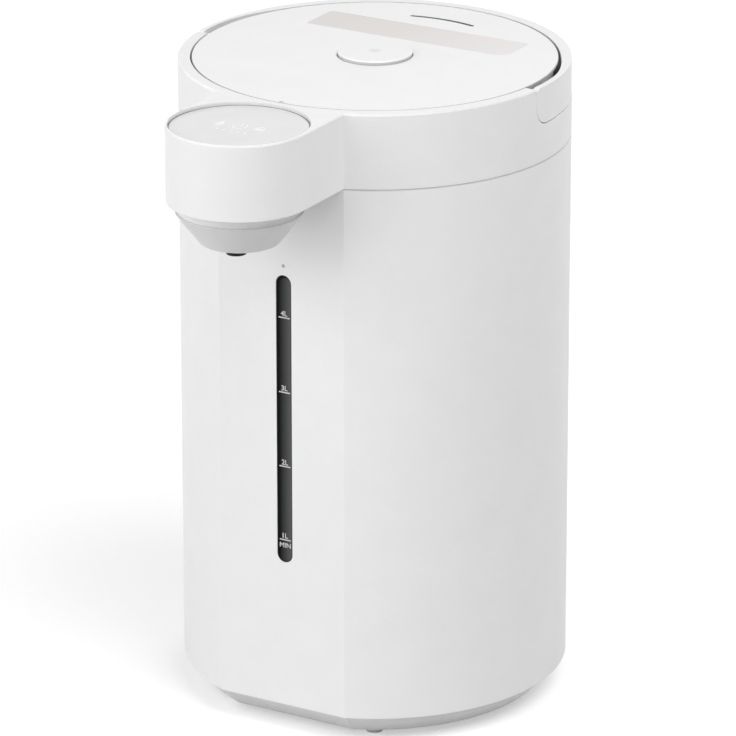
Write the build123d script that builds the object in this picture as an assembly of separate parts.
from build123d import *
import math
import os

# Electric thermo pot, in millimetres. +Z is up, the spout looks along -Y, and the floor is z = 0.
# Every piece is drawn about the upright axis of the round body; EXPORT_SHIFT then moves them all,
# so that the origin is the centre of the whole footprint, spout head included.

# Body: a round wall with a flat front.
BODY_R = 105.0
FLAT_HALF = 38.2
FLAT_Y = math.sqrt(BODY_R**2 - FLAT_HALF**2)
FLAT_EDGE_ROUND = 1.2
SHELL_T = 1.8
SHELL_LOW = 15.7
SEAM_Z = 313.3
RIM_Z = 354.5
SEAM_ROUND = 0.45

# Shoulder moulding, with the neck and the spout head in one.
COLLAR_T = 2.1
COLLAR_ROUND = 1.0
HEAD_R = FLAT_HALF
HEAD_Y = -138.5
NECK_FLOOR = SEAM_Z + 2.0
NECK_CEILING = RIM_Z - 2.5
HOSE_DOOR_HALF = 5.5
WELL_R = 98.4
WELL_T = 2.2
SHELF_LOW = 324.5
SHELF_TOP = 327.0
SHELF_BORE_R = 88.2
SPIGOT_T = 1.8
SPIGOT_H = 5.0

# Touch panel in the top of the head.
PANEL_R = 37.0
PANEL_SINK = 1.8
PANEL_T = 1.5
PANEL_LOW = RIM_Z - PANEL_SINK - PANEL_T
PANEL_LEDGE = 2.0
PANEL_OPENING_R = 33.0
PLUG_X = 12.0
PLUG_Y = -122.0
PLUG_H = 2.6

# Spout: a funnel-shaped cowl under the head, with the nozzle in its floor.
COWL_LOW = 290.9
COWL_R = 20.8
COWL_ROUND = 2.5
COWL_TOP = 308.1
COWL_TOP_R = 33.4
COWL_RING_R = 32.4
COWL_SPIGOT_R = 30.4
COWL_WALL = 2.1
NOZZLE_Y = -142.0
NOZZLE_LOW = 285.2
NOZZLE_R = 5.3
NOZZLE_SEAT_R = 6.0
NOZZLE_FLANGE_R = 9.0
NOZZLE_STEM = 12.0

# Tank: about 41.7 mm of height to the litre.
TANK_R = 87.3
TANK_T = 0.6
TANK_FLOOR = 67.0
TANK_CORNER = 12.0
TANK_SEAM_Z = 80.0
TANK_FLANGE_R = 92.8
FLANGE_LOW = 321.2
STUB_R = 4.6
STUB_BORE = 4.0
STUB_H = 11.0
CLAMP_LOW = 318.6
CLAMP_R = 94.5
CLAMP_SCREW_R = 97.3
CLAMP_EAR_R = 4.2
CLAMP_ANGLES = [30, 90, 150, 210, 270, 330]
JACKET_R = 95.5
JACKET_GAP_HALF = 9.5

# Water window, a little right of the middle, with the riser tube and the hoses at its ends.
WINDOW_X = 1.5
WINDOW_W = 9.4
WINDOW_LOW = 98.0
WINDOW_TOP = 260.0
BEZEL_T = 0.5
BEZEL_SINK = 0.2
BEZEL_FLANGE_T = 0.4
LENS_SINK = 0.5
LENS_FLANGE = 2.5
LENS_FLANGE_T = 0.6
CHANNEL_BACK = -88.0
CHANNEL_HALF = 7.0
CHANNEL_INNER_HALF = 5.4
TUBE_Y = -92.0
TUBE_R = 2.8
TUBE_BORE = 1.9
TUBE_LOW = 87.0
TUBE_TOP = 270.0
HOSE_R = 3.5
HOSE_LAP = 7.0
HOSE_RUN_Z = 320.6

# Heater under the tank, and the tray under the heater.
HEATER_R = 60.0
HEATER_LOW = TANK_FLOOR - TANK_T - 6
ELEMENT_R = 38.0
ELEMENT_WIRE = 4.0
TERMINAL_XS = (-8, 8)
SHIELD_R = 92.0
SHIELD_T = 0.8
SHIELD_H = 6.0

# Base: a shallow pan that is screwed up to four posts in the shell.
FOOT_H = 4.0
FOOT_STUD_R = 3.0
FOOT_STUD_H = 1.5
FOOT_PAD_R = 4.4
FEET = [(-41.7, -72.4), (41.7, -72.4), (-50, 66), (50, 66)]
PAN_T = 2.4
PAN_INSET = 12.4
PAN_LIP = 1.8
PAN_FLOOR = FOOT_H + PAN_T
POST_R = 86.0
POST_TOP = 50.0
POST_ANGLES = [45, 135, 225, 315]
SCREW_R = 1.5
SCREW_BORE_DEPTH = 16.0
SLOT_PITCH = 7.0

# Pump, under the tank's outlet.
PUMP_X = -10.0
PUMP_Y = -50.0
PUMP_OUTLET_Z = 34.0
PUMP_R = 17.0
PUMP_WALL = 2.5
CASE_LOW = 19.5
CASE_FLOOR = 26.0
CASE_TOP = 40.0
INLET_PIPE_R = 4.6
MOTOR_LOW = 8.4
MOTOR_R = 15.0
MAGNET_R = 12.0
SHAFT_R = 1.5
IMPELLER_R = 12.5
IMPELLER_PIN_R = 1.2
BLADES = 6
RUNNING_GAP = 0.06

# Mains inlet, low at the back.
INLET_Z = 33.0
INLET_HALF_W = 14.5
INLET_HALF_H = 11.0
INLET_BACK = 84.0
INLET_WALL = 2.5
SOCKET_W = 24.0
SOCKET_H = 16.4
BLADE_TIP = 99.0

# Circuit board in the base.
BOARD_Y = 44.0
BOARD_HALF_W = 50.0
BOARD_HALF_D = 28.0
BOARD_LOW = 12.4
BOARD_T = 1.6
BOARD_TOP = BOARD_LOW + BOARD_T
STANDOFF_X = 44.0
STANDOFF_Y = 22.0

# Carry handle: a half ring that lies in the rear half of the rim.
HANDLE_FRONT = -10.8
HANDLE_LOW = 334.1
HANDLE_OUTER_R = 104.7
HANDLE_INNER_R = 98.6
HANDLE_ARM_R = 101.7
HANDLE_CORNER = 10.0
HANDLE_GAP = 0.6
PIVOT_ROUND = 4.0
PIVOT_Y = HANDLE_FRONT + PIVOT_ROUND
PIVOT_Z = RIM_Z - PIVOT_ROUND
PIN_R = 1.3
PIN_END = 103.2
LUG_OUTER = 100.7
LUG_R = 2.3

# Lid.
LID_R = 97.6
LID_T = 2.3
LID_RIM_T = 1.3
LID_ROUND = 0.7
LID_WALL_R = 94.8
LID_SKIRT_R = 93.0
LID_BOSSES = [(-42, -42), (42, -42), (-42, 42), (42, 42)]
DECK_LOW = 327.1
DECK_TOP = 329.1
PLUG_WALL_R = 84.5
PLUG_WALL_T = 2.0
PLUG_LOW = 303.0
INNER_PLATE_T = 0.6
INNER_PLATE_STEP = 1.5
SLOT_R = 74.5
SLOT_HALF_ANGLE = 14.5
SLOT_W = 2.4
DUCT_W = 7.6
DUCT_BORE_W = 4.8

# Button in the middle of the lid.
BUTTON_R = 19.9
BUTTON_RISE = 2.3
BUTTON_TRAVEL = 2.6
BUTTON_T = 2.2
BUTTON_SKIRT_T = 1.5
BUTTON_ROUND = 0.9
SLEEVE_R = 20.4
SLEEVE_T = 1.8
SPRING_SEAT = 343.0
SPRING_R = 17.4
SPRING_WIRE = 0.5
SPRING_TURNS = 3

# Lid latch: bolts that a forked wedge under the button draws inwards.
BOLT_LOW = 329.3
BOLT_TOP = 333.0
BOLT_TIP = 99.9
BOLT_HALF_W = 4.0
BOLT_GAP = 0.4
GUIDE_GAP = 0.3
GUIDE_T = 2.0
CAM_TOP = 339.0
CAM_START = 6.0
CAM_START_Z = 346.0
CAM_HALF = 2.1
CAM_HALF_D = 2.6
CAM_TIP_Z = 332.2
KEEPER_TOP = 336.0

EXPORT_SHIFT = (HEAD_R - HEAD_Y - BODY_R) / 2

os.makedirs("parts", exist_ok=True)


# ---------------------------------------------------------------- helpers

def prism(plan, low, high):
    """Upright solid of a plan outline between two heights."""
    return Pos(0, 0, low) * extrude(plan, high - low)


def rod(radius, low, high, x=0.0, y=0.0):
    """Upright cylinder between two heights."""
    return Pos(x, y, 0) * prism(Circle(radius), low, high)


def ring(inner, outer, low, high, x=0.0, y=0.0):
    """Upright tube between two heights."""
    return Pos(x, y, 0) * prism(Circle(outer) - Circle(inner), low, high)


def block(x0, x1, y0, y1, z0, z1):
    """Box between two corners."""
    return Pos((x0 + x1) / 2, (y0 + y1) / 2, (z0 + z1) / 2) * Box(x1 - x0, y1 - y0, z1 - z0)


def polar(radius, angle):
    """Plan point at an angle from the front, counted towards +X."""
    turn = math.radians(angle)
    return radius * math.sin(turn), -radius * math.cos(turn)


def turned(*points, x=0.0, y=0.0):
    """Solid turned about an upright axis from (radius, height) points."""
    return Pos(x, y, 0) * revolve(Plane.XZ * Polygon(*points, align=None), Axis.Z)


def crosswise(radius, x0, x1, y, z):
    """Cylinder along X."""
    return Pos(x0, y, z) * extrude(Plane.YZ * Circle(radius), x1 - x0)


def both_sides(solid):
    """The solid and its mirror image across the middle plane."""
    return [solid, mirror(solid, about=Plane.YZ)]


def hose(points, radii, inner, outer):
    """Tube along straight runs joined by tangent arcs."""
    path = FilletPolyline(*points, radius=radii)
    start = Plane(origin=path @ 0, z_dir=path % 0)
    section = Circle(outer)
    if inner:
        section -= Circle(inner)
    return sweep(start * section, path=path)


def screw(head_r, head_low, head_top, tip, x, y):
    """Pan-head screw that points up."""
    return rod(head_r, head_low, head_top, x, y) + rod(SCREW_R, head_top, tip, x, y)


# ---------------------------------------------------------------- plan outlines

def body_plan(inset=0.0):
    """Round outline with the flat front, drawn in evenly by inset."""
    radius = BODY_R - inset
    flat = FLAT_Y - inset
    return Circle(radius) - Pos(0, -flat - radius) * Rectangle(2 * radius, 2 * radius)


def spout_plan(inset=0.0):
    """Neck as wide as the flat, with a half-round head at its end."""
    half = HEAD_R - inset
    back = -FLAT_Y + COLLAR_T + 1
    neck = Pos(0, (HEAD_Y + back) / 2) * Rectangle(2 * half, back - HEAD_Y)
    return neck + Pos(0, HEAD_Y) * Circle(half)


def window_slot(width, y0, y1):
    """Upright slot with full-round ends, cut along Y."""
    height = WINDOW_TOP - WINDOW_LOW + width - WINDOW_W
    middle = (WINDOW_TOP + WINDOW_LOW) / 2
    slot = Pos(WINDOW_X, middle) * SlotOverall(height, width, rotation=90)
    return extrude(Plane.XZ.offset(-y1) * slot, y1 - y0)


def arc_slot(width, low, high):
    """Slot bent round the lid's rear, over the steam outlet."""
    middle = CenterArc((0, 0), SLOT_R, 90 - SLOT_HALF_ANGLE, 2 * SLOT_HALF_ANGLE)
    return prism(SlotArc(middle, width), low, high)


# ---------------------------------------------------------------- outer shell and window

def outer_shell():
    """Body wall, with the window slot, the inlet opening and four ribbed screw posts."""
    wall = prism(body_plan(), SHELL_LOW, SEAM_Z)
    corners = wall.edges().filter_by(Axis.Z).filter_by(lambda edge: edge.center().Y < 1 - FLAT_Y)
    wall = fillet(corners, FLAT_EDGE_ROUND)
    wall = fillet(wall.edges().group_by(Axis.Z)[-1], SEAM_ROUND)
    wall -= prism(body_plan(SHELL_T), SHELL_LOW - 1, SEAM_Z + 1)
    wall -= window_slot(WINDOW_W, -FLAT_Y - 1, -FLAT_Y + SHELL_T + 1)
    inlet_low = INLET_Z - INLET_HALF_H
    inlet_top = INLET_Z + INLET_HALF_H
    wall -= block(-INLET_HALF_W, INLET_HALF_W, 90, BODY_R + 1, inlet_low, inlet_top)

    post_r = 4.5
    rib_half = 1.5
    rib_low = SHELL_LOW + 6
    for angle in POST_ANGLES:
        post = rod(post_r, SHELL_LOW, POST_TOP, 0, -POST_R)
        post += block(-rib_half, rib_half, -BODY_R + SHELL_T / 2, -POST_R, rib_low, POST_TOP)
        post -= rod(SCREW_R, SHELL_LOW - 1, SHELL_LOW + SCREW_BORE_DEPTH, 0, -POST_R)
        wall += Rot(0, 0, angle) * post
    return wall


def window_bezel():
    """Black frame that lines the window slot, with a thin flange behind the wall."""
    inside = -FLAT_Y + SHELL_T
    back = inside + BEZEL_FLANGE_T
    frame = window_slot(WINDOW_W - 0.1, -FLAT_Y + BEZEL_SINK, back)
    frame += window_slot(WINDOW_W + 2 * LENS_FLANGE, inside, back)
    return frame - window_slot(WINDOW_W - 2 * BEZEL_T, -FLAT_Y - 1, back + 1)


def level_window():
    """Clear lens: a slot-shaped plate in the bezel, with a wider flange behind it."""
    back = -FLAT_Y + SHELL_T + BEZEL_FLANGE_T
    plate = window_slot(WINDOW_W - 2 * BEZEL_T - 0.1, -FLAT_Y + LENS_SINK, back)
    return plate + window_slot(WINDOW_W + 2 * LENS_FLANGE, back, back + LENS_FLANGE_T)


def tube_channel():
    """Dark channel that holds the riser tube behind the lens."""
    front = -FLAT_Y + SHELL_T + BEZEL_FLANGE_T + LENS_FLANGE_T
    back_t = 0.9
    low = WINDOW_LOW - 1
    top = WINDOW_TOP + 1
    half = CHANNEL_INNER_HALF
    body = block(-CHANNEL_HALF, CHANNEL_HALF, front, CHANNEL_BACK, low, top)
    body -= block(-half, half, front - 1, CHANNEL_BACK - back_t, low - 1, top + 1)
    return Pos(WINDOW_X, 0, 0) * body


def sight_tube():
    """Clear riser tube in which the water stands as high as in the tank."""
    return ring(TUBE_BORE, TUBE_R, TUBE_LOW, TUBE_TOP, WINDOW_X, TUBE_Y)


# ---------------------------------------------------------------- shoulder moulding

def handle_side(grow=0.0, top_round=0.0):
    """Side outline of the folded handle, grown all round, as a prism right across the pot."""
    front = HANDLE_FRONT - grow
    low = HANDLE_LOW - grow
    top = RIM_Z + (0 if top_round else 5)
    back = BODY_R + 5
    outline = Polygon((front, low), (back, low), (back, top), (front, top), align=None)
    corners = outline.vertices().group_by(Axis.X)[0].sort_by(Axis.Y)
    if top_round:
        outline = fillet(corners[1], top_round)
        corners = outline.vertices().filter_by(lambda v: v.Y < low + 1 and v.X < front + 1)
    outline = fillet(corners[0], HANDLE_CORNER + grow)
    return extrude(Plane.YZ * outline, back, both=True)


def handle_lug():
    """Post beside the lid that carries the hinge pin, with the latch keeper at its foot."""
    inner = WELL_R + 0.05
    seat_front = HANDLE_FRONT - HANDLE_GAP
    lug = block(inner, LUG_OUTER, seat_front - 0.5, PIVOT_Y, SHELF_TOP, PIVOT_Z - 8)
    lug += block(inner, LUG_OUTER, PIVOT_Y - LUG_R, PIVOT_Y + LUG_R, SHELF_TOP, PIVOT_Z)
    lug += crosswise(LUG_R, inner, LUG_OUTER, PIVOT_Y, PIVOT_Z)
    lug -= crosswise(PIN_R, inner - 1, LUG_OUTER + 1, PIVOT_Y, PIVOT_Z)
    keeper = block(inner, LUG_OUTER + 0.3, -BOLT_HALF_W - 2, BOLT_HALF_W + 3, SHELF_TOP, KEEPER_TOP)
    return lug + keeper


def keeper_pocket():
    """Pocket that the latch bolt's tip stands in, open at its top."""
    side = BOLT_HALF_W + BOLT_GAP
    low = BOLT_LOW - GUIDE_GAP
    return block(WELL_R - 1, BOLT_TIP + 0.35, -side, side, low, KEEPER_TOP + 1)


def collar_housing():
    """Shoulder ring, neck and spout head in one moulding, open below."""
    solid = prism(body_plan() + spout_plan(), SEAM_Z, RIM_Z)
    solid = fillet(solid.edges().group_by(Axis.Z)[-1], COLLAR_ROUND)
    solid = fillet(solid.edges().group_by(Axis.Z)[0], SEAM_ROUND)

    # The well that takes the lid, the mouth over the tank and the hollow under the shelf.
    solid -= rod(WELL_R, SHELF_TOP, RIM_Z + 1)
    solid -= rod(SHELF_BORE_R, SEAM_Z - 1, RIM_Z)
    solid -= prism(body_plan(COLLAR_T), SEAM_Z - 1, SHELF_LOW)

    # The hollow between the well's wall and the outer wall ends short of the handle's seat.
    well_outer = WELL_R + WELL_T
    walls = prism(body_plan(COLLAR_T) - Circle(well_outer), SHELF_LOW - 1, NECK_CEILING)
    solid -= walls - handle_side(HANDLE_GAP + COLLAR_T)

    # The neck is hollow and opens into the hollow under the shelf.
    neck = spout_plan(COLLAR_T)
    solid -= prism(neck, NECK_FLOOR, SHELF_LOW)
    solid -= prism(neck, SHELF_LOW - 1, PANEL_LOW - PANEL_LEDGE) - rod(well_outer, SEAM_Z, RIM_Z)
    solid -= block(-HOSE_DOOR_HALF, HOSE_DOOR_HALF, -100, -90, SEAM_Z - 1, NECK_FLOOR + 1)

    # The head's top holds the touch panel on a ledge; its floor takes the cowl's spigot.
    solid -= rod(PANEL_R, PANEL_LOW, RIM_Z + 1, 0, HEAD_Y)
    solid -= rod(PANEL_OPENING_R, NECK_FLOOR, RIM_Z, 0, HEAD_Y)
    solid -= rod(COWL_SPIGOT_R, SEAM_Z - 1, NECK_FLOOR + 1, 0, HEAD_Y)

    # The handle's seat, the hinge lugs and the latch keepers.
    solid -= handle_side(HANDLE_GAP)
    for lug in both_sides(handle_lug()):
        solid += lug
    for pocket in both_sides(keeper_pocket()):
        solid -= pocket

    # A spigot stands inside the round part of the shell.
    spigot_in = SHELL_T + SPIGOT_T
    spigot = prism(body_plan(SHELL_T) - body_plan(spigot_in), SEAM_Z - SPIGOT_H, SEAM_Z)
    spigot += prism(body_plan(COLLAR_T) - body_plan(spigot_in), SEAM_Z, SEAM_Z + SPIGOT_H)
    front_gap = block(-45, 45, -BODY_R, -60, SEAM_Z - SPIGOT_H - 1, SEAM_Z + SPIGOT_H + 1)
    solid += spigot - front_gap

    boss_r = 3.8
    for angle in CLAMP_ANGLES:
        x, y = polar(CLAMP_SCREW_R, angle)
        solid += rod(boss_r, FLANGE_LOW, SHELF_LOW, x, y)
        solid -= rod(SCREW_R, FLANGE_LOW - 1, SHELF_TOP - 1, x, y)
    return solid


# ---------------------------------------------------------------- spout

def spout_cowl():
    """Funnel-shaped cover under the head: a plain ring above, then a cone with a flat end."""
    edge_h = 0.8
    cone = turned(
        (0, COWL_LOW),
        (COWL_R, COWL_LOW),
        (COWL_TOP_R, COWL_TOP - edge_h),
        (COWL_TOP_R, COWL_TOP),
        (COWL_RING_R, COWL_TOP),
        (COWL_RING_R, SEAM_Z),
        (COWL_SPIGOT_R, SEAM_Z),
        (COWL_SPIGOT_R, NECK_FLOOR + 1),
        (0, NECK_FLOOR + 1),
        y=HEAD_Y,
    )
    cone = fillet(cone.edges().group_by(Axis.Z)[0], COWL_ROUND)
    hollow_r = COWL_SPIGOT_R - COWL_WALL
    floor = COWL_LOW + COWL_WALL
    cone -= turned(
        (0, floor),
        (COWL_R - 1.4, floor),
        (hollow_r, COWL_TOP - 3.2),
        (hollow_r, RIM_Z),
        (0, RIM_Z),
        y=HEAD_Y,
    )
    return cone - rod(NOZZLE_SEAT_R, COWL_LOW - 1, COWL_TOP, 0, NOZZLE_Y)


def outlet_nozzle():
    """Nozzle: a tip below the cowl, a flange on its floor and a stem for the hose."""
    floor = COWL_LOW + COWL_WALL
    flange_top = floor + 2
    mouth_r = NOZZLE_R - 1.5
    return turned(
        (TUBE_BORE, NOZZLE_LOW + 6),
        (mouth_r, NOZZLE_LOW + 3),
        (mouth_r, NOZZLE_LOW),
        (NOZZLE_R, NOZZLE_LOW),
        (NOZZLE_SEAT_R, COWL_LOW),
        (NOZZLE_SEAT_R, floor),
        (NOZZLE_FLANGE_R, floor),
        (NOZZLE_FLANGE_R, flange_top),
        (TUBE_R, flange_top),
        (TUBE_R, flange_top + NOZZLE_STEM),
        (TUBE_BORE, flange_top + NOZZLE_STEM),
        y=NOZZLE_Y,
    )


def display_panel():
    """Glossy touch disc, a little below the rim of the head."""
    return rod(PANEL_R - 0.15, PANEL_LOW, RIM_Z - PANEL_SINK, 0, HEAD_Y)


def display_board():
    """Round touch board under the disc, with its chip and the cable's plug."""
    low = PANEL_LOW - BOARD_T
    chip_x = -2
    chip_y = HEAD_Y - 2
    chip_half = 6
    plug_half_x = 4
    plug_half_y = 2.5
    board = rod(PANEL_OPENING_R - 0.4, low, PANEL_LOW, 0, HEAD_Y)
    board += Pos(chip_x, chip_y, 0) * block(-chip_half, chip_half, -chip_half, chip_half, low - 1.4, low)
    plug = block(-plug_half_x, plug_half_x, -plug_half_y, plug_half_y, low - PLUG_H, low)
    return board + Pos(PLUG_X, PLUG_Y, 0) * plug


def riser_hose():
    """Hose from the pump's outlet forwards and up to the riser tube."""
    points = [
        (WINDOW_X, PUMP_Y - PUMP_R, PUMP_OUTLET_Z),
        (WINDOW_X, TUBE_Y, PUMP_OUTLET_Z),
        (WINDOW_X, TUBE_Y, TUBE_LOW + HOSE_LAP + 1),
    ]
    return hose(points, 12, TUBE_R, HOSE_R)


def spout_hose():
    """Hose from the riser tube over the shell's top edge to the nozzle."""
    points = [
        (WINDOW_X, TUBE_Y, TUBE_TOP - HOSE_LAP + 1),
        (WINDOW_X, TUBE_Y, HOSE_RUN_Z),
        (0, NOZZLE_Y, HOSE_RUN_Z),
        (0, NOZZLE_Y, COWL_LOW + COWL_WALL + 3),
    ]
    return hose(points, [10, 12], TUBE_R, HOSE_R)


# ---------------------------------------------------------------- tank

def pot_form(radius, floor, corner, top):
    """Upright cylinder with a rounded bottom corner."""
    return fillet(rod(radius, floor, top).edges().group_by(Axis.Z)[0], corner)


def inner_tank():
    """Rolled wall of the tank, with a flange turned out at its mouth."""
    flange_top = FLANGE_LOW + TANK_T
    wall = ring(TANK_R, TANK_R + TANK_T, TANK_SEAM_Z, flange_top)
    return wall + ring(TANK_R, TANK_FLANGE_R, FLANGE_LOW, flange_top)


def tank_bottom():
    """Pressed bottom with the outlet stub, welded edge to edge to the tank's wall."""
    bottom = pot_form(TANK_R + TANK_T, TANK_FLOOR - TANK_T, TANK_CORNER + TANK_T, TANK_SEAM_Z)
    bottom += rod(STUB_R, TANK_FLOOR - STUB_H, TANK_FLOOR, PUMP_X, PUMP_Y)
    bottom -= pot_form(TANK_R, TANK_FLOOR, TANK_CORNER, TANK_SEAM_Z + 1)
    return bottom - rod(STUB_BORE, TANK_FLOOR - STUB_H - 1, TANK_FLOOR + 1, PUMP_X, PUMP_Y)


def tank_seal():
    """Flat ring between the tank's flange and the collar's shelf."""
    return ring(SHELF_BORE_R, TANK_FLANGE_R, FLANGE_LOW + TANK_T, SHELF_LOW)


def tank_clamp_ring():
    """Ring with screw ears that pulls the flange up; the front is relieved for the hose."""
    plan = Circle(CLAMP_R)
    for angle in CLAMP_ANGLES:
        plan += Pos(*polar(CLAMP_SCREW_R, angle)) * Circle(CLAMP_EAR_R)
    plan -= Circle(SHELF_BORE_R)
    for angle in CLAMP_ANGLES:
        plan -= Pos(*polar(CLAMP_SCREW_R, angle)) * Circle(SCREW_R)
    solid = prism(plan, CLAMP_LOW, FLANGE_LOW)
    return solid - block(-6, 6, -BODY_R, TUBE_Y + 1.3, CLAMP_LOW - 1, FLANGE_LOW + 1)


def clamp_screws():
    """Six screws up through the clamp ring into the collar's bosses."""
    head_r = 2.8
    head_h = 2.2
    places = [polar(CLAMP_SCREW_R, angle) for angle in CLAMP_ANGLES]
    return [screw(head_r, CLAMP_LOW - head_h, CLAMP_LOW, SHELF_LOW, x, y) for x, y in places]


def insulation_jacket():
    """Thick felt round the tank, open in front for the riser tube."""
    jacket = ring(TANK_R + TANK_T, JACKET_R, TANK_FLOOR + TANK_CORNER, CLAMP_LOW - 3)
    half = JACKET_GAP_HALF
    return jacket - block(-half, half, -BODY_R, 0, TANK_FLOOR, CLAMP_LOW)


# ---------------------------------------------------------------- heater and sensors

def heater_plate():
    """Cast plate against the tank's floor, with the tubular element as a ridge under it."""
    top = TANK_FLOOR - TANK_T
    pin_r = 1.6
    plate = rod(HEATER_R, HEATER_LOW, top)
    plate += Pos(0, 0, HEATER_LOW) * Torus(ELEMENT_R, ELEMENT_WIRE)
    for x in TERMINAL_XS:
        plate += rod(pin_r, POST_TOP + 3, HEATER_LOW, x, ELEMENT_R)
    return plate - rod(STUB_R + 2.4, POST_TOP, TANK_FLOOR, PUMP_X, PUMP_Y)


def boil_dry_thermostat():
    """Snap-disc thermostat with two tabs."""
    body_low = HEATER_LOW - 5
    body = rod(8, body_low, HEATER_LOW)
    for x in (-4, 4):
        body += block(x - 0.4, x + 0.4, -3, 3, body_low - 4, body_low)
    return Pos(-14, 8, 0) * body


def temperature_sensor():
    """Stepped sensor pill pressed on the plate."""
    return Pos(14, 12, 0) * (rod(3, HEATER_LOW - 8, HEATER_LOW) + rod(5, HEATER_LOW - 2, HEATER_LOW))


def thermal_fuse():
    """Small fuse cylinder lying along the plate."""
    radius = 2.2
    return crosswise(radius, 6, 20, -12, HEATER_LOW - radius)


def heat_shield():
    """Shallow metal tray over the shell's posts, with openings for hose and terminals."""
    top = POST_TOP + SHIELD_H
    tray = rod(SHIELD_R, POST_TOP, top)
    tray -= rod(SHIELD_R - SHIELD_T, POST_TOP + SHIELD_T, top + 1)
    tray -= rod(7.2, POST_TOP - 1, POST_TOP + 2, PUMP_X, PUMP_Y)
    for x in TERMINAL_XS:
        tray -= rod(4, POST_TOP - 1, POST_TOP + 2, x, ELEMENT_R)
    notch_half = 2 * HOSE_R
    return tray - block(-notch_half, notch_half, -BODY_R, TUBE_Y + 6, POST_TOP - 1, top + 1)


# ---------------------------------------------------------------- pump

def tank_outlet_hose():
    """Short hose from the tank's outlet stub down to the pump."""
    return ring(STUB_R, STUB_R + 1.8, CASE_TOP + 7, HEATER_LOW + 4, PUMP_X, PUMP_Y)


def pump_cover():
    """Pump lid with the inlet pipe in its middle."""
    plate_top = CASE_TOP + 4
    pipe_top = CASE_TOP + 14
    cover = rod(PUMP_R, CASE_TOP, plate_top, PUMP_X, PUMP_Y)
    cover += rod(INLET_PIPE_R, plate_top, pipe_top, PUMP_X, PUMP_Y)
    return cover - rod(INLET_PIPE_R - 1.2, CASE_TOP - 1, pipe_top + 1, PUMP_X, PUMP_Y)


def pump_case():
    """Volute cup with a side outlet and a skirt down to the motor; a fixed pin carries the impeller."""
    inner_r = PUMP_R - PUMP_WALL
    outlet_low = PUMP_OUTLET_Z - 4.5
    outlet_top = PUMP_OUTLET_Z + 4.5
    block_front = PUMP_Y - PUMP_R + 1
    case = rod(PUMP_R, CASE_LOW, CASE_TOP, PUMP_X, PUMP_Y)
    case += block(-5, PUMP_X + PUMP_R, block_front, PUMP_Y, outlet_low, outlet_top)
    case += Pos(WINDOW_X, block_front + 2, PUMP_OUTLET_Z) * extrude(Plane.XZ * Circle(TUBE_R), 13)
    case -= rod(inner_r, CASE_FLOOR + 2, CASE_TOP + 1, PUMP_X, PUMP_Y)
    case -= rod(inner_r, CASE_LOW - 1, CASE_FLOOR, PUMP_X, PUMP_Y)
    case -= Pos(WINDOW_X, PUMP_Y, PUMP_OUTLET_Z) * extrude(Plane.XZ * Circle(TUBE_BORE), 30)
    return case + rod(IMPELLER_PIN_R, CASE_FLOOR + 1, CASE_TOP, PUMP_X, PUMP_Y)


def pump_impeller():
    """Disc with swept blades round a hub."""
    low = CASE_FLOOR + 3
    disc_top = low + 3.5
    blade_top = CASE_TOP - 1.5
    wheel = rod(IMPELLER_R, low, disc_top) + rod(4, low, blade_top - 1)
    path = ThreePointArc((2.5, 0), (7.5, 2.0), (11.0, 5.0))
    blade = prism(trace(path, 1.2), disc_top - 1.5, blade_top)
    for index in range(BLADES):
        wheel += Rot(0, 0, 360 / BLADES * index) * blade
    wheel -= rod(IMPELLER_PIN_R + RUNNING_GAP, low - 1, CASE_TOP)
    return Pos(PUMP_X, PUMP_Y, 0) * wheel


def motor_rotor():
    """Motor shaft with the drive magnet on its end."""
    rotor = rod(SHAFT_R, MOTOR_LOW + 2, CASE_FLOOR - 1, PUMP_X, PUMP_Y)
    return rotor + rod(MAGNET_R, CASE_LOW + 1, CASE_FLOOR - 1.5, PUMP_X, PUMP_Y)


def pump_motor():
    """Motor can, closed below, with the shaft's bore."""
    can = rod(MOTOR_R, MOTOR_LOW, CASE_LOW, PUMP_X, PUMP_Y)
    can = fillet(can.edges().group_by(Axis.Z)[0], 1.5)
    return can - rod(SHAFT_R + RUNNING_GAP, MOTOR_LOW + 1.8, CASE_LOW + 1, PUMP_X, PUMP_Y)


# ---------------------------------------------------------------- base

def base_pan():
    """Bottom moulding with 45 degree sides, air slots, screw bosses and board standoffs."""
    inner_inset = PAN_INSET - PAN_T + PAN_T * math.sqrt(2)
    pan = Pos(0, 0, FOOT_H) * extrude(body_plan(PAN_INSET), SHELL_LOW - FOOT_H, taper=-45)
    pan -= Pos(0, 0, PAN_FLOOR) * extrude(body_plan(inner_inset), SHELL_LOW - PAN_FLOOR, taper=-45)
    lip = body_plan(SHELL_T) - body_plan(SHELL_T + PAN_LIP)
    pan += prism(lip, SHELL_LOW - 1.5, SHELL_LOW + 4)
    pan += ring(MOTOR_R - 3, MOTOR_R, PAN_FLOOR - 0.5, MOTOR_LOW, PUMP_X, PUMP_Y)
    for x in (-STANDOFF_X, STANDOFF_X):
        for y in (BOARD_Y - STANDOFF_Y, BOARD_Y + STANDOFF_Y):
            pan += rod(3, PAN_FLOOR - 0.5, BOARD_LOW, x, y)

    boss_r = 5.5
    recess_r = 3.8
    recess_top = FOOT_H + 3
    for angle in POST_ANGLES:
        x, y = polar(POST_R, angle)
        pan += rod(boss_r, FOOT_H, SHELL_LOW, x, y)
        pan -= rod(SCREW_R, FOOT_H - 1, SHELL_LOW + 1, x, y)
        pan -= rod(recess_r, FOOT_H - 1, recess_top, x, y)
    for x, y in FEET:
        pan -= rod(FOOT_STUD_R, FOOT_H - 1, FOOT_H + FOOT_STUD_H, x, y)
    for row in range(-3, 4):
        slot = prism(SlotOverall(44, 3), FOOT_H - 1, PAN_FLOOR + 1)
        pan -= Pos(0, 6 + SLOT_PITCH * row, 0) * slot
    return pan


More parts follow.
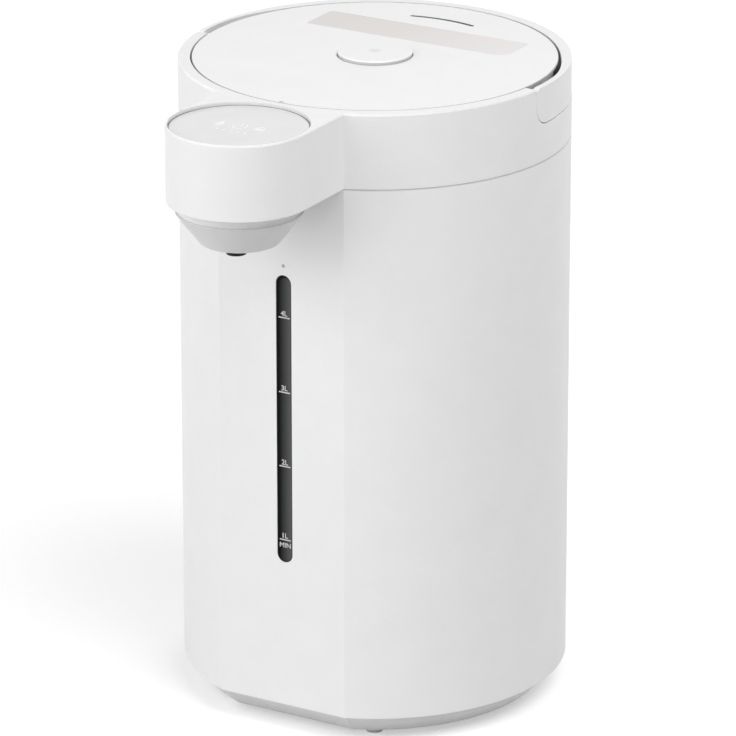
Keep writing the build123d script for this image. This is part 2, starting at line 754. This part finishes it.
def base_screws():
    """Four screws up through the pan's bosses into the shell's posts."""
    head_r = 3.6
    tip = SHELL_LOW + SCREW_BORE_DEPTH - 2
    places = [polar(POST_R, angle) for angle in POST_ANGLES]
    return [screw(head_r, FOOT_H + 0.8, FOOT_H + 3, tip, x, y) for x, y in places]


def rubber_feet():
    """Four flared feet with studs."""
    stud_top = FOOT_H + FOOT_STUD_H
    profile = [
        (0, 0),
        (FOOT_PAD_R, 0),
        (FOOT_PAD_R + 0.4, 1.2),
        (7.6, FOOT_H),
        (FOOT_STUD_R, FOOT_H),
        (FOOT_STUD_R, stud_top),
        (0, stud_top),
    ]
    return [turned(*profile, x=x, y=y) for x, y in FEET]


def power_inlet():
    """Mains inlet housing, flush with the round back, with a socket for a plug."""
    low = INLET_Z - INLET_HALF_H
    top = INLET_Z + INLET_HALF_H
    housing = block(-INLET_HALF_W, INLET_HALF_W, INLET_BACK, BODY_R, low, top)
    housing &= rod(BODY_R - 0.3, 0, SEAM_Z)
    socket = Rectangle(SOCKET_W, SOCKET_H)
    socket = chamfer(socket.vertices().group_by(Axis.Y)[-1], 4)
    depth = BODY_R - INLET_BACK - INLET_WALL
    return housing - Pos(0, BODY_R, INLET_Z) * extrude(Plane.XZ * socket, depth)


def inlet_pins():
    """Three contact blades on the inlet's back wall."""
    back = INLET_BACK + INLET_WALL
    blade = block(-1, 1, back, BLADE_TIP, INLET_Z - 2, INLET_Z + 2)
    return [Pos(x, 0, z) * blade for x, z in [(-7, -2.4), (7, -2.4), (0, 1.4)]]


def control_board():
    """Power board with its transformer, relay, capacitor, heat sink and terminal block."""
    front = BOARD_Y - BOARD_HALF_D
    back = BOARD_Y + BOARD_HALF_D
    board = block(-BOARD_HALF_W, BOARD_HALF_W, front, back, BOARD_LOW, BOARD_TOP)
    transformer = block(-42, -14, 28, 52, BOARD_TOP, BOARD_TOP + 20)
    relay = block(22, 38, 40, 59, BOARD_TOP, BOARD_TOP + 15.5)
    capacitor = rod(8, BOARD_TOP, BOARD_TOP + 18, 4, 34)
    heat_sink = block(42, 45, 22, 60, BOARD_TOP, BOARD_TOP + 16)
    terminal_block = block(-12, 12, 62, 70, BOARD_TOP, BOARD_TOP + 10)
    for component in (transformer, relay, capacitor, heat_sink, terminal_block):
        board += component
    return board


def power_leads():
    """Two mains wires from the inlet's back down to the board's terminal block."""
    terminal_y = 66
    lead_z = INLET_Z - 2
    leads = []
    for x in (-7, 7):
        points = [(x, INLET_BACK, lead_z), (x, terminal_y, lead_z), (x, terminal_y, BOARD_TOP + 10)]
        leads.append(hose(points, 5, 0, 1.3))
    return leads


def display_cable():
    """Round cable from the power board up inside the shell, round the shoulder and into the head."""
    wall_r = 99.3
    low_z = 18.0
    high_z = 311.0
    points = [
        (BOARD_HALF_W, 12, low_z),
        (*polar(wall_r, 65), low_z),
        (*polar(wall_r, 65), high_z),
        (*polar(wall_r, 40), high_z),
        (34, -93.3, 317.5),
        (26, -103.5, 319.5),
        (PLUG_X, PLUG_Y, 326),
        (PLUG_X, PLUG_Y, PANEL_LOW - BOARD_T - PLUG_H),
    ]
    return hose(points, [10, 10, 10, 10, 5, 7], 0, 1.2)


# ---------------------------------------------------------------- carry handle

def carry_handle():
    """Half ring, thin at its arms, that swings up on two pins."""
    arm_in = polar(HANDLE_ARM_R, 97)
    flare_end = polar(HANDLE_INNER_R, 130)
    flare = Spline(
        arm_in,
        polar(99.8, 112),
        flare_end,
        tangents=[(-arm_in[1], arm_in[0]), (-flare_end[1], flare_end[0])],
    )
    outer = [polar(HANDLE_OUTER_R, angle) for angle in (80, 130, 180)]
    inner = [polar(HANDLE_INNER_R, angle) for angle in (180, 155)]
    arm = [polar(HANDLE_ARM_R, angle) for angle in (88, 80)]
    outline = [
        ThreePointArc(*outer),
        Line(outer[-1], inner[0]),
        ThreePointArc(*inner, flare_end),
        flare,
        ThreePointArc(arm_in, *arm),
        Line(arm[-1], outer[0]),
    ]
    half = prism(make_face(outline), HANDLE_LOW, RIM_Z)
    band = half + mirror(half, about=Plane.YZ)
    band &= handle_side(0, PIVOT_ROUND)
    bore = crosswise(PIN_R + RUNNING_GAP, WELL_R - 0.4, PIN_END + 0.1, PIVOT_Y, PIVOT_Z)
    for side in both_sides(bore):
        band -= side
    return band


def handle_pins():
    """Two pins pressed into the lugs; the handle's arms turn on them."""
    return both_sides(crosswise(PIN_R, WELL_R + 0.05, PIN_END, PIVOT_Y, PIVOT_Z))


# ---------------------------------------------------------------- lid

def lid_cover():
    """Flush round top with a thin rim over its skirt, the button's sleeve and the bolts' windows."""
    rim_low = RIM_Z - LID_RIM_T
    cover = rod(LID_R, rim_low, RIM_Z) + rod(LID_WALL_R, DECK_LOW, rim_low)
    cover = fillet(cover.edges().group_by(Axis.Z)[-1], LID_ROUND)
    cover -= rod(LID_SKIRT_R, DECK_LOW - 1, RIM_Z - LID_T)
    cover += rod(SLEEVE_R + SLEEVE_T, SPRING_SEAT - 2, RIM_Z - 1)
    cover -= rod(SLEEVE_R, SPRING_SEAT, RIM_Z + 1)
    cover -= rod(SPRING_R - 1.4, SPRING_SEAT - 3, RIM_Z)
    cover -= arc_slot(SLOT_W, RIM_Z - LID_T - 1, RIM_Z + 1)
    side = BOLT_HALF_W + BOLT_GAP
    cover -= block(-LID_R - 1, LID_R + 1, -side, side, DECK_LOW - 1, BOLT_TOP + BOLT_GAP)
    for x, y in LID_BOSSES:
        cover += rod(4, DECK_TOP, RIM_Z - 1, x, y)
        cover -= rod(SCREW_R, DECK_TOP - 1, DECK_TOP + 12, x, y)
    return cover


def lid_base():
    """Deck under the cover with the bolt guides, and the plug wall that reaches into the tank."""
    base = rod(LID_SKIRT_R, DECK_LOW, DECK_TOP)
    base += ring(PLUG_WALL_R - PLUG_WALL_T, PLUG_WALL_R, PLUG_LOW, DECK_LOW + 1)
    near = BOLT_HALF_W + GUIDE_GAP
    rail = block(34, 90, near, near + GUIDE_T, DECK_TOP - 1, BOLT_TOP + 1.5)
    for rear_rail in both_sides(rail):
        base += rear_rail
        base += mirror(rear_rail, about=Plane.XZ)
    base -= arc_slot(DUCT_W, DECK_LOW - 1, DECK_TOP + 1)
    for x, y in LID_BOSSES:
        base -= rod(SCREW_R, DECK_LOW - 1, DECK_TOP + 1, x, y)
    return base


def lid_screws():
    """Four screws up through the deck into the cover's bosses."""
    return [screw(3, DECK_LOW - 2, DECK_LOW, DECK_TOP + 11, x, y) for x, y in LID_BOSSES]


def lid_inner_plate():
    """Pressed steel plate under the plug with a shallow step and a row of steam holes."""
    low = PLUG_LOW - INNER_PLATE_STEP
    hole_r = 1.6
    hole_pitch = 4
    plate = rod(PLUG_WALL_R, low, PLUG_LOW)
    plate -= rod(PLUG_WALL_R - 3, low + INNER_PLATE_T, PLUG_LOW + 1)
    for step in range(-3, 4):
        x, y = polar(SLOT_R, 180 + hole_pitch * step)
        plate -= rod(hole_r, low - 1, PLUG_LOW, x, y)
    return plate


def lid_gasket():
    """Silicone ring round the plug with a raised lip."""
    rib = PLUG_WALL_R + 1.1
    lip = PLUG_WALL_R + 2.4
    return turned(
        (PLUG_WALL_R, 306),
        (rib, 307),
        (rib, 309),
        (lip, 313),
        (lip, 314),
        (rib, 312.2),
        (rib, 316),
        (PLUG_WALL_R, 317),
    )


def steam_duct():
    """Bent-slot chimney from the steam holes to the slot in the lid's top."""
    duct = arc_slot(DUCT_W, PLUG_LOW - INNER_PLATE_STEP + INNER_PLATE_T, RIM_Z - LID_T)
    return duct - arc_slot(DUCT_BORE_W, PLUG_LOW - 2, RIM_Z)


def lid_button():
    """Round button with a guide skirt and the forked wedge under it."""
    top = RIM_Z + BUTTON_RISE
    under = top - BUTTON_T
    button = rod(BUTTON_R, SPRING_SEAT + BUTTON_TRAVEL + 0.5, top)
    button = fillet(button.edges().group_by(Axis.Z)[-1], BUTTON_ROUND)
    button -= rod(BUTTON_R - BUTTON_SKIRT_T, SPRING_SEAT, under)
    stem = CAM_START + CAM_HALF
    button += block(-stem, stem, -CAM_HALF_D, CAM_HALF_D, CAM_START_Z, under + 1)
    for leg in both_sides(cam_leg(CAM_HALF, CAM_TIP_Z, CAM_START_Z, CAM_HALF_D)):
        button += leg
    return button


def cam_leg(half, low, high, half_depth):
    """Leg that slopes outwards at 45 degrees on its way down, on the +X side."""
    near = CAM_START + CAM_START_Z - high
    far = CAM_START + CAM_START_Z - low
    corners = [(near - half, high), (near + half, high), (far + half, low), (far - half, low)]
    return extrude(Plane.XZ * Polygon(*corners, align=None), half_depth, both=True)


def latch_bolt():
    """Right-hand bolt: a flat bar with a cam block that the wedge's leg runs through."""
    bolt = block(26, BOLT_TIP, -BOLT_HALF_W, BOLT_HALF_W, BOLT_LOW, BOLT_TOP)
    bolt += block(8.4, 28, -6, 6, BOLT_LOW, CAM_TOP)
    clear = CAM_HALF + 0.35 * math.sqrt(2)
    return bolt - cam_leg(clear, BOLT_LOW - 1, CAM_TOP + 1, CAM_HALF_D + 0.3)


def button_spring():
    """Coil spring between the sleeve's seat and the button."""
    low = SPRING_SEAT + SPRING_WIRE
    high = RIM_Z + BUTTON_RISE - BUTTON_T - SPRING_WIRE
    path = Helix(pitch=(high - low) / SPRING_TURNS, height=high - low, radius=SPRING_R)
    start = Plane(origin=path @ 0, z_dir=path % 0)
    wire = RegularPolygon(SPRING_WIRE, 6)
    return Pos(0, 0, low) * sweep(start * wire, path=path, is_frenet=True)


# ---------------------------------------------------------------- export

PIECES = {
    "outer_shell": outer_shell,
    "window_bezel": window_bezel,
    "level_window": level_window,
    "tube_channel": tube_channel,
    "sight_tube": sight_tube,
    "collar_housing": collar_housing,
    "spout_cowl": spout_cowl,
    "outlet_nozzle": outlet_nozzle,
    "display_panel": display_panel,
    "display_board": display_board,
    "riser_hose": riser_hose,
    "spout_hose": spout_hose,
    "inner_tank": inner_tank,
    "tank_bottom": tank_bottom,
    "tank_seal": tank_seal,
    "tank_clamp_ring": tank_clamp_ring,
    "clamp_screws": clamp_screws,
    "insulation_jacket": insulation_jacket,
    "heater_plate": heater_plate,
    "boil_dry_thermostat": boil_dry_thermostat,
    "temperature_sensor": temperature_sensor,
    "thermal_fuse": thermal_fuse,
    "heat_shield": heat_shield,
    "tank_outlet_hose": tank_outlet_hose,
    "pump_cover": pump_cover,
    "pump_case": pump_case,
    "pump_impeller": pump_impeller,
    "motor_rotor": motor_rotor,
    "pump_motor": pump_motor,
    "base_pan": base_pan,
    "base_screws": base_screws,
    "rubber_feet": rubber_feet,
    "power_inlet": power_inlet,
    "inlet_pins": inlet_pins,
    "control_board": control_board,
    "power_leads": power_leads,
    "display_cable": display_cable,
    "carry_handle": carry_handle,
    "handle_pins": handle_pins,
    "lid_cover": lid_cover,
    "lid_base": lid_base,
    "lid_screws": lid_screws,
    "lid_inner_plate": lid_inner_plate,
    "lid_gasket": lid_gasket,
    "steam_duct": steam_duct,
    "lid_button": lid_button,
    "button_spring": button_spring,
    "latch_right": latch_bolt,
    "latch_left": lambda: mirror(latch_bolt(), about=Plane.YZ),
}

for name, make in PIECES.items():
    made = make()
    solids = made if isinstance(made, list) else [made]
    shape = Compound(children=[Pos(0, EXPORT_SHIFT, 0) * solid for solid in solids])
    export_step(shape, f"parts/{name}.step")
    volume = sum(solid.volume for solid in shape.solids())
    print(f"{name:22s} solids {len(shape.solids()):2d}  volume {volume:10.0f}")
